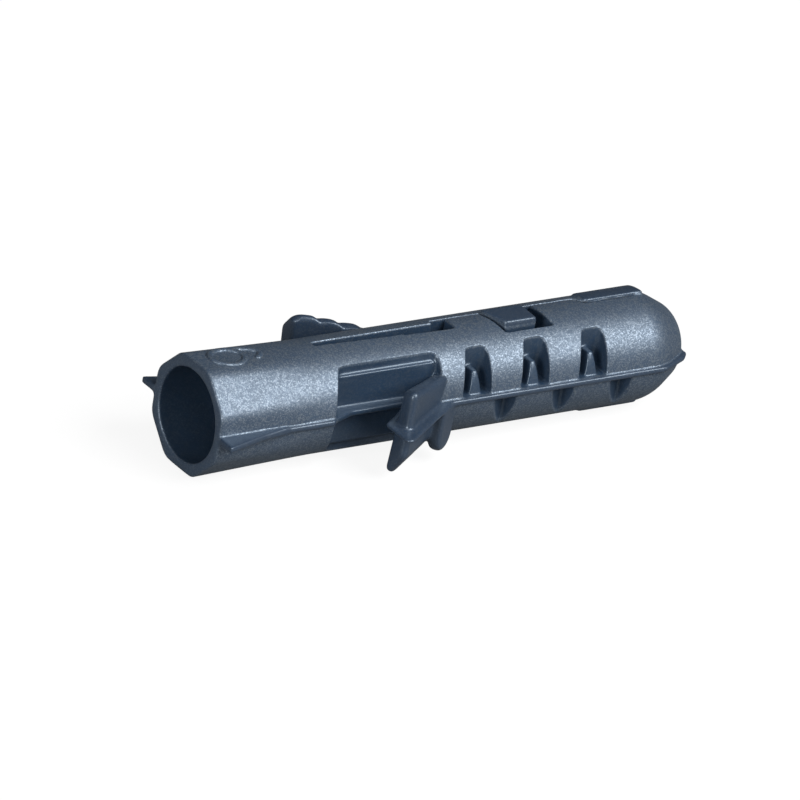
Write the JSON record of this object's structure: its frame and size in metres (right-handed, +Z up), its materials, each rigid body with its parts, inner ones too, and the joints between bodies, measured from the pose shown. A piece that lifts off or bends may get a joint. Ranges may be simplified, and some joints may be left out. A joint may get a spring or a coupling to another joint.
{
  "type": "nylon wall plug",
  "caption": "One-piece moulded expansion plug for a screw in masonry, with interlocking split halves, grip pockets, sprung side wings and small fins at the mouth.",
  "frame": {"origin": "on the plug's axis at its mouth, in the plane of the mouth face", "axes": "+X along the axis from the mouth to the nose, +Z up as the plug lies on the raised tooth of its underside, with its wings to the sides"},
  "size_m": [0.03, 0.0117, 0.0062],
  "materials": {
    "nylon": "satin, with a fine metallic flake on the outer surface"
  },
  "bodies": {
    "root": {"plug_body": "nylon"}
  },
  "joints": []
}
